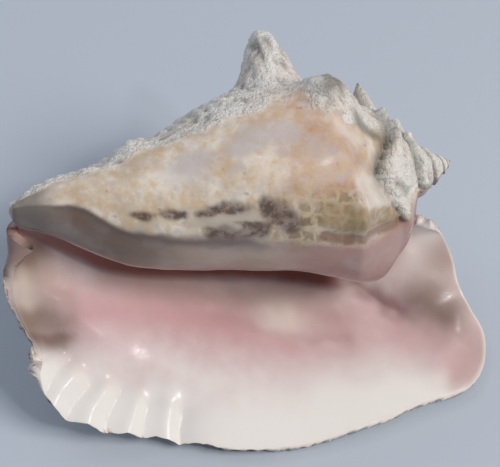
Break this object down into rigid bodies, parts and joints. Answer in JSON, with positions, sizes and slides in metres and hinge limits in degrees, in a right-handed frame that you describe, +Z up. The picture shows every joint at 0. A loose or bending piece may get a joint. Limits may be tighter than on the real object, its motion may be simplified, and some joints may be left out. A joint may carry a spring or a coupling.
{
  "type": "conch shell",
  "caption": "Large spiral sea shell with a knobbed spire, blunt shoulder spines and a wide flared pink lip, lying aperture up.",
  "frame": {"origin": "centre of the box around the shell, on the surface it lies on", "axes": "+Z up; +X towards the apex; -Y towards the flared lip"},
  "size_m": [0.2318, 0.1696, 0.1305],
  "materials": {
    "shell": "glazed enamel on the lip and underside, chalky on the spines"
  },
  "bodies": {
    "root": {"conch_shell": "shell"}
  },
  "joints": []
}
